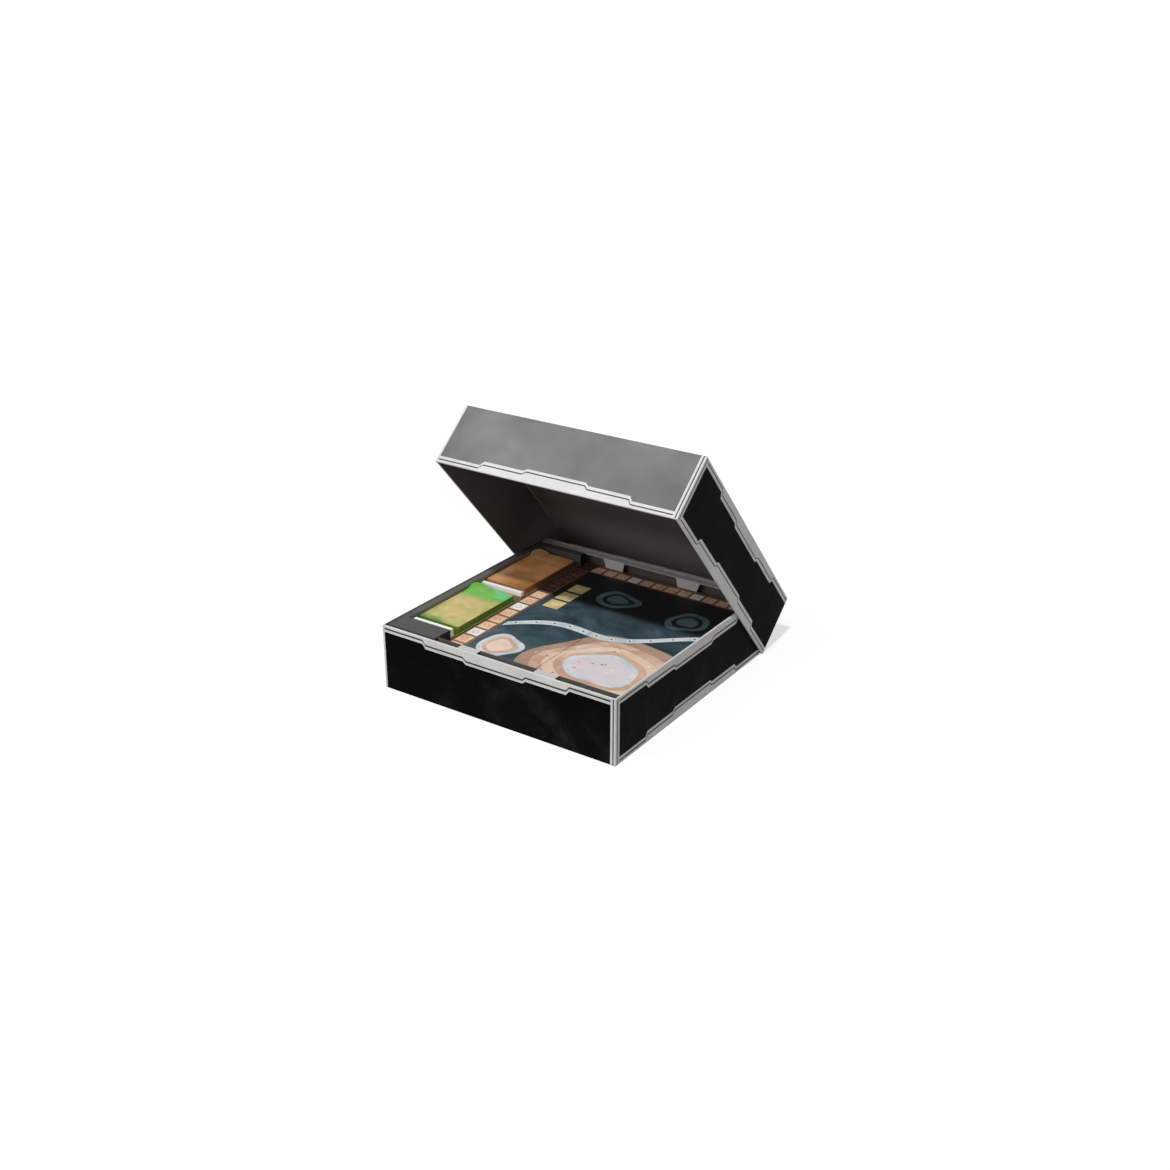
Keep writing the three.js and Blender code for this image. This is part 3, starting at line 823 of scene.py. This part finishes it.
# Spaces in a column at the left and a row at the back, each on a strip
COLUMN_LEFT = BOARD_LEFT + 1.0
COLUMN_RIGHT = COLUMN_LEFT + 19.0
COLUMN_CLEAR = 0.5
COLUMN_SPACE = 16.6
COLUMN_PITCH = 19.2
COLUMN_START = BOARD_FRONT + 2.5
COLUMN_WHITES = (4, 2)
# Where the painted shade on the left column begins.
PAINTED_SHADE_START = 38.7
ROW_FRONT = BOARD_BACK - 22.0
ROW_LEFT = COLUMN_LEFT + 18.4
ROW_SPACE_Y = (BOARD_BACK - 20, BOARD_BACK - 5)
ROW_PITCH = 16.5
ROW_WHITES = (5, 3)
TRACK_END_GAP = 2
SPACE_GAP = 1.8
SPACE_FRAME = 1.0
RING_OUTSIDE = 3.6
RING_INSIDE = 2.9

# Uneven rings. Each wave of an outline is its depth, its count round the ring and its phase.
HILLS = ((0.09, 2, 0.4), (0.06, 3, 2.1), (0.035, 5, 4.0))
ISLES = ((0.08, 3, 1.0), (0.05, 4, 0.3))
RING_DRIFT = 0.35
RING_POINTS = 72
LAND_INKS = (INK_SHORE, INK_TAN, INK_SAND, INK_TAN, INK_PALE, INK_LILAC)
POOL_INKS = (INK_SHALLOW, BOARD_FIELD, INK_SHALLOW)

# Centre and half size, waves, inks from the outside in, and each ring's size in the one before
RINGS = (
    ((88, -84), (84, 76), HILLS, LAND_INKS, 0.82),
    ((-30, -98), (24, 26), ISLES, (INK_PALE, INK_TAN, INK_SAND), 0.74),
    ((10, 66), (26, 20), ISLES, POOL_INKS, 0.7),
    ((104, 60), (22, 24), HILLS, POOL_INKS, 0.7),
)

# A winding ribbon with stops on it, and three cards in a line
RIBBON_START = (-58, -52)
RIBBON_END = (140, 22)
RIBBON_SWAY = 13
RIBBON_WAVES = 1.2
RIBBON_WIDTH = 11
RIBBON_STEPS = 48
STOPS = 11
STOP_RADII = (3.6, 2.2)
STOP_SIDES = 4
CARD_X = (-52, -32)
CARD_FRONTS = (8, 32, 56)
CARD_LENGTH = 20
CARD_MARK = 5
CARD_MARK_SIDES = 6

# Small marks strewn over the large rings
STRAY_SEED = 7
STRAY_MARKS = 26
STRAY_X = (10, 138)
STRAY_Y = (-132, -30)
STRAY_RADIUS = (0.9, 2.0)
STRAY_INKS = (INK_BROWN, INK_GREEN, INK_WHITE)
STRAY_SIDES = (3, 4, 6)
STRAY_TURN = 3


def flat(mesh, outline, layer, material):
    """A flat inked shape on the board, one thin layer above the last."""
    height = BOARD_TOP + INK_STEP * layer
    mesh.face([(x, y, height) for x, y in outline], material)


def rectangle(x0, y0, x1, y1):
    return [(x0, y0), (x1, y0), (x1, y1), (x0, y1)]


def disc(mesh, centre, radius, layer, material, sides=ROUND_SIDES, turn=0.0):
    angles = [2 * math.pi * i / sides + turn for i in range(sides)]
    flat(mesh, [(centre[0] + radius * math.cos(angle), centre[1] + radius * math.sin(angle))
                for angle in angles], layer, material)


def kept_inside(x, y):
    """A point moved into the printed field, clear of the two rows of spaces."""
    return (min(BOARD_RIGHT - FIELD_EDGE, max(COLUMN_RIGHT - COLUMN_CLEAR, x)),
            min(ROW_FRONT, max(BOARD_FRONT + FIELD_EDGE, y)))


def rings(mesh, centre, size, waves, inks, shrink):
    """Nested uneven rings, like the height lines of a map, one ink inside the next."""
    scale = 1.0
    for level, ink in enumerate(inks):
        outline = []
        for i in range(RING_POINTS):
            t = 2 * math.pi * i / RING_POINTS
            swell = 1 + sum(a * math.sin(n * t + p + RING_DRIFT * level) for a, n, p in waves)
            outline.append(kept_inside(centre[0] + size[0] * scale * swell * math.cos(t),
                                       centre[1] + size[1] * scale * swell * math.sin(t)))
        flat(mesh, outline, RINGS_LAYER + level, ink)
        scale *= shrink


def ribbon(mesh):
    """A ribbon that winds across the field, with stops along it."""
    def middle(t):
        x, y = (a + (b - a) * t for a, b in zip(RIBBON_START, RIBBON_END))
        return x, y + RIBBON_SWAY * math.sin(2 * math.pi * RIBBON_WAVES * t)
    side = RIBBON_WIDTH / 2
    for step in range(RIBBON_STEPS):
        a, b = middle(step / RIBBON_STEPS), middle((step + 1) / RIBBON_STEPS)
        flat(mesh, [kept_inside(x, y + off) for (x, y), off in
                    ((a, -side), (b, -side), (b, side), (a, side))], RIBBON_LAYER, INK_PALE)
    for stop in range(STOPS):
        for above, (radius, ink) in enumerate(zip(STOP_RADII, (INK_WHITE, INK_SHALLOW)), 1):
            disc(mesh, middle((stop + 0.5) / STOPS), radius, RIBBON_LAYER + above, ink, STOP_SIDES)


def space(mesh, x0, y0, x1, y1, look):
    """One space of a track: a frame, its field and a plain ring."""
    flat(mesh, rectangle(x0, y0, x1, y1), SPACE_LAYER, INK_BROWN)
    flat(mesh, rectangle(x0 + SPACE_FRAME, y0 + SPACE_FRAME, x1 - SPACE_FRAME, y1 - SPACE_FRAME),
         SPACE_LAYER + 1, look)
    middle = ((x0 + x1) / 2, (y0 + y1) / 2)
    disc(mesh, middle, RING_OUTSIDE, SPACE_LAYER + 2, INK_BROWN)
    disc(mesh, middle, RING_INSIDE, SPACE_LAYER + 3, look)


def space_ink(index, whites):
    """whites is (every, first): of every so many spaces, the one at first is white."""
    every, first = whites
    return INK_WHITE if index % every == first else INK_SQUARE


def places(start, pitch, end):
    """Where the spaces of a track begin, as many as fit."""
    found = []
    while start + pitch < end - TRACK_END_GAP:
        found.append(start)
        start += pitch
    return found


def tracks(mesh):
    """The column of spaces at the left and the row of them at the back. Towards the back the column
    is painted dark brown as painted shade.
    """
    left, right = BOARD_LEFT + PRINT_EDGE, BOARD_RIGHT - PRINT_EDGE
    front, back = BOARD_FRONT + PRINT_EDGE, BOARD_BACK - PRINT_EDGE
    flat(mesh, rectangle(left, front, COLUMN_RIGHT, PAINTED_SHADE_START), STRIP_LAYER, INK_TRACK)
    flat(mesh, rectangle(left, PAINTED_SHADE_START, COLUMN_RIGHT, back), STRIP_LAYER, INK_PAINTED_SHADE)
    flat(mesh, rectangle(COLUMN_RIGHT, ROW_FRONT, right, back), STRIP_LAYER, INK_TRACK)
    for index, y in enumerate(places(COLUMN_START, COLUMN_PITCH, BOARD_BACK)):
        look = INK_PAINTED_SHADE if y > PAINTED_SHADE_START else space_ink(index, COLUMN_WHITES)
        space(mesh, COLUMN_LEFT, y, COLUMN_LEFT + COLUMN_SPACE, y + COLUMN_PITCH - SPACE_GAP, look)
    for index, x in enumerate(places(ROW_LEFT, ROW_PITCH, BOARD_RIGHT)):
        space(mesh, x, ROW_SPACE_Y[0], x + ROW_PITCH - SPACE_GAP, ROW_SPACE_Y[1],
              space_ink(index, ROW_WHITES))


def stray_marks(mesh):
    rng = random.Random(STRAY_SEED)
    for _ in range(STRAY_MARKS):
        spot = kept_inside(rng.uniform(*STRAY_X), rng.uniform(*STRAY_Y))
        disc(mesh, spot, rng.uniform(*STRAY_RADIUS), STRAY_LAYER, rng.choice(STRAY_INKS),
             rng.choice(STRAY_SIDES), rng.uniform(0, STRAY_TURN))


def board_print():
    """A plain abstract track game: two rows of spaces, height lines, a ribbon and markers."""
    mesh = Mesh()
    tracks(mesh)
    for centre, size, waves, inks, shrink in RINGS:
        rings(mesh, centre, size, waves, inks, shrink)
    ribbon(mesh)
    for low in CARD_FRONTS:
        left, right = CARD_X
        flat(mesh, rectangle(left, low, right, low + CARD_LENGTH), CARD_LAYER, INK_YELLOW)
        disc(mesh, ((left + right) / 2, low + CARD_LENGTH / 2), CARD_MARK, CARD_LAYER + 1,
             INK_SAND, CARD_MARK_SIDES)
    stray_marks(mesh)
    middle = (BOARD_LEFT + BOARD_RIGHT) / 2
    flat(mesh, rectangle(middle - FOLD_LINE / 2, BOARD_FRONT, middle + FOLD_LINE / 2, BOARD_BACK),
         FOLD_LAYER, BOARD_EDGE)
    return mesh.build("board_ink")


# Stage, light and camera: places in metres, sensor and lens in millimetres
CAMERA_PLACE = Vector((0.8313, -1.2024, 0.7543))
CAMERA_AZIMUTH = math.radians(34.3)
CAMERA_DROP = math.radians(24.03)
SENSOR = 36.0
LENS = SENSOR * 1493.2 / 1170
KEY_ELEVATION = math.radians(62)
KEY_AZIMUTH = math.radians(14)
KEY_STRENGTH = 2.5
KEY_SPREAD = math.radians(3.5)
FILL_ELEVATION = math.radians(32)
FILL_AZIMUTH = math.radians(-20)
FILL_STRENGTH = 1.0
FILL_SPREAD = math.radians(40)
LIGHT_DISTANCE = 2.0
WORLD_LIGHT = 0.29
FLOOR_REACH = 40.0
FLOOR_ALBEDO = 0.4
FLOOR_SEEN_ALBEDO = 0.35
FLOOR_SEEN_GLOW = 0.64


def outward(azimuth, elevation):
    """The direction from the part at an azimuth round from its front and an elevation."""
    return Vector((math.sin(azimuth) * math.cos(elevation),
                   -math.cos(azimuth) * math.cos(elevation),
                   math.sin(elevation)))


def face_along(obj, direction):
    obj.rotation_euler = direction.to_track_quat("-Z", "Y").to_euler()


def camera():
    data = bpy.data.cameras.new("camera")
    data.sensor_width = SENSOR
    data.lens = LENS
    obj = add_object("camera", data)
    obj.location = CAMERA_PLACE
    face_along(obj, -outward(CAMERA_AZIMUTH, CAMERA_DROP))
    bpy.context.scene.camera = obj


def distant_light(name, azimuth, elevation, strength, spread):
    data = bpy.data.lights.new(name, "SUN")
    data.energy = strength
    data.angle = spread
    obj = add_object(name, data)
    towards = outward(azimuth, elevation)
    obj.location = towards * LIGHT_DISTANCE
    face_along(obj, -towards)


def seen_rays(nodes, links):
    """1 for the rays that show a surface: seen by the camera, in a gloss or through glass."""
    path = nodes.new("ShaderNodeLightPath")
    result = path.outputs["Is Camera Ray"]
    for kind in ("Is Glossy Ray", "Is Transmission Ray"):
        either = nodes.new("ShaderNodeMath")
        either.operation = "MAXIMUM"
        links.new(result, either.inputs[0])
        links.new(path.outputs[kind], either.inputs[1])
        result = either.outputs[0]
    return result


def floor_look():
    """White where it is seen, with its shadows, and a mid grey in the light it gives the box."""
    material = bpy.data.materials.new("floor_paper")
    material.use_nodes = True
    nodes = material.node_tree.nodes
    links = material.node_tree.links
    nodes.clear()
    plain = nodes.new("ShaderNodeBsdfDiffuse")
    plain.inputs["Color"].default_value = (FLOOR_ALBEDO,) * 3 + (1,)
    seen = nodes.new("ShaderNodeBsdfDiffuse")
    seen.inputs["Color"].default_value = (FLOOR_SEEN_ALBEDO,) * 3 + (1,)
    glow = nodes.new("ShaderNodeEmission")
    glow.inputs["Strength"].default_value = FLOOR_SEEN_GLOW
    add = nodes.new("ShaderNodeAddShader")
    mix = nodes.new("ShaderNodeMixShader")
    out = nodes.new("ShaderNodeOutputMaterial")
    links.new(seen.outputs[0], add.inputs[0])
    links.new(glow.outputs[0], add.inputs[1])
    links.new(seen_rays(nodes, links), mix.inputs[0])
    links.new(plain.outputs[0], mix.inputs[1])
    links.new(add.outputs[0], mix.inputs[2])
    links.new(mix.outputs[0], out.inputs["Surface"])
    return material


def world_look():
    """A white backdrop that gives less light than it shows."""
    world = bpy.data.worlds.new("studio")
    bpy.context.scene.world = world
    world.use_nodes = True
    nodes = world.node_tree.nodes
    links = world.node_tree.links
    background = nodes["Background"]
    seen = nodes.new("ShaderNodeBackground")
    for node, strength in ((background, WORLD_LIGHT), (seen, 1.0)):
        node.inputs["Color"].default_value = (1, 1, 1, 1)
        node.inputs["Strength"].default_value = strength
    mix = nodes.new("ShaderNodeMixShader")
    links.new(seen_rays(nodes, links), mix.inputs[0])
    links.new(background.outputs[0], mix.inputs[1])
    links.new(seen.outputs[0], mix.inputs[2])
    links.new(mix.outputs[0], nodes["World Output"].inputs["Surface"])


def stage():
    data = bpy.data.meshes.new("floor")
    corners = rectangle(-FLOOR_REACH, -FLOOR_REACH, FLOOR_REACH, FLOOR_REACH)
    data.from_pydata([(x, y, 0) for x, y in corners], [], [(0, 1, 2, 3)])
    data.materials.append(floor_look())
    floor = add_object("floor", data)
    world_look()
    distant_light("key", KEY_AZIMUTH, KEY_ELEVATION, KEY_STRENGTH, KEY_SPREAD)
    distant_light("fill", FILL_AZIMUTH, FILL_ELEVATION, FILL_STRENGTH, FILL_SPREAD)
    bpy.context.scene.view_settings.view_transform = "Standard"


camera()
stage()
dress_all()

base_print = base_wrap()
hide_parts("base_wrap")
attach(base_print, "base")

lid_outside = lid_wrap()
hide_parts("lid_wrap")
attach(lid_outside, "lid")

ink = board_print()
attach(ink, "game_board")
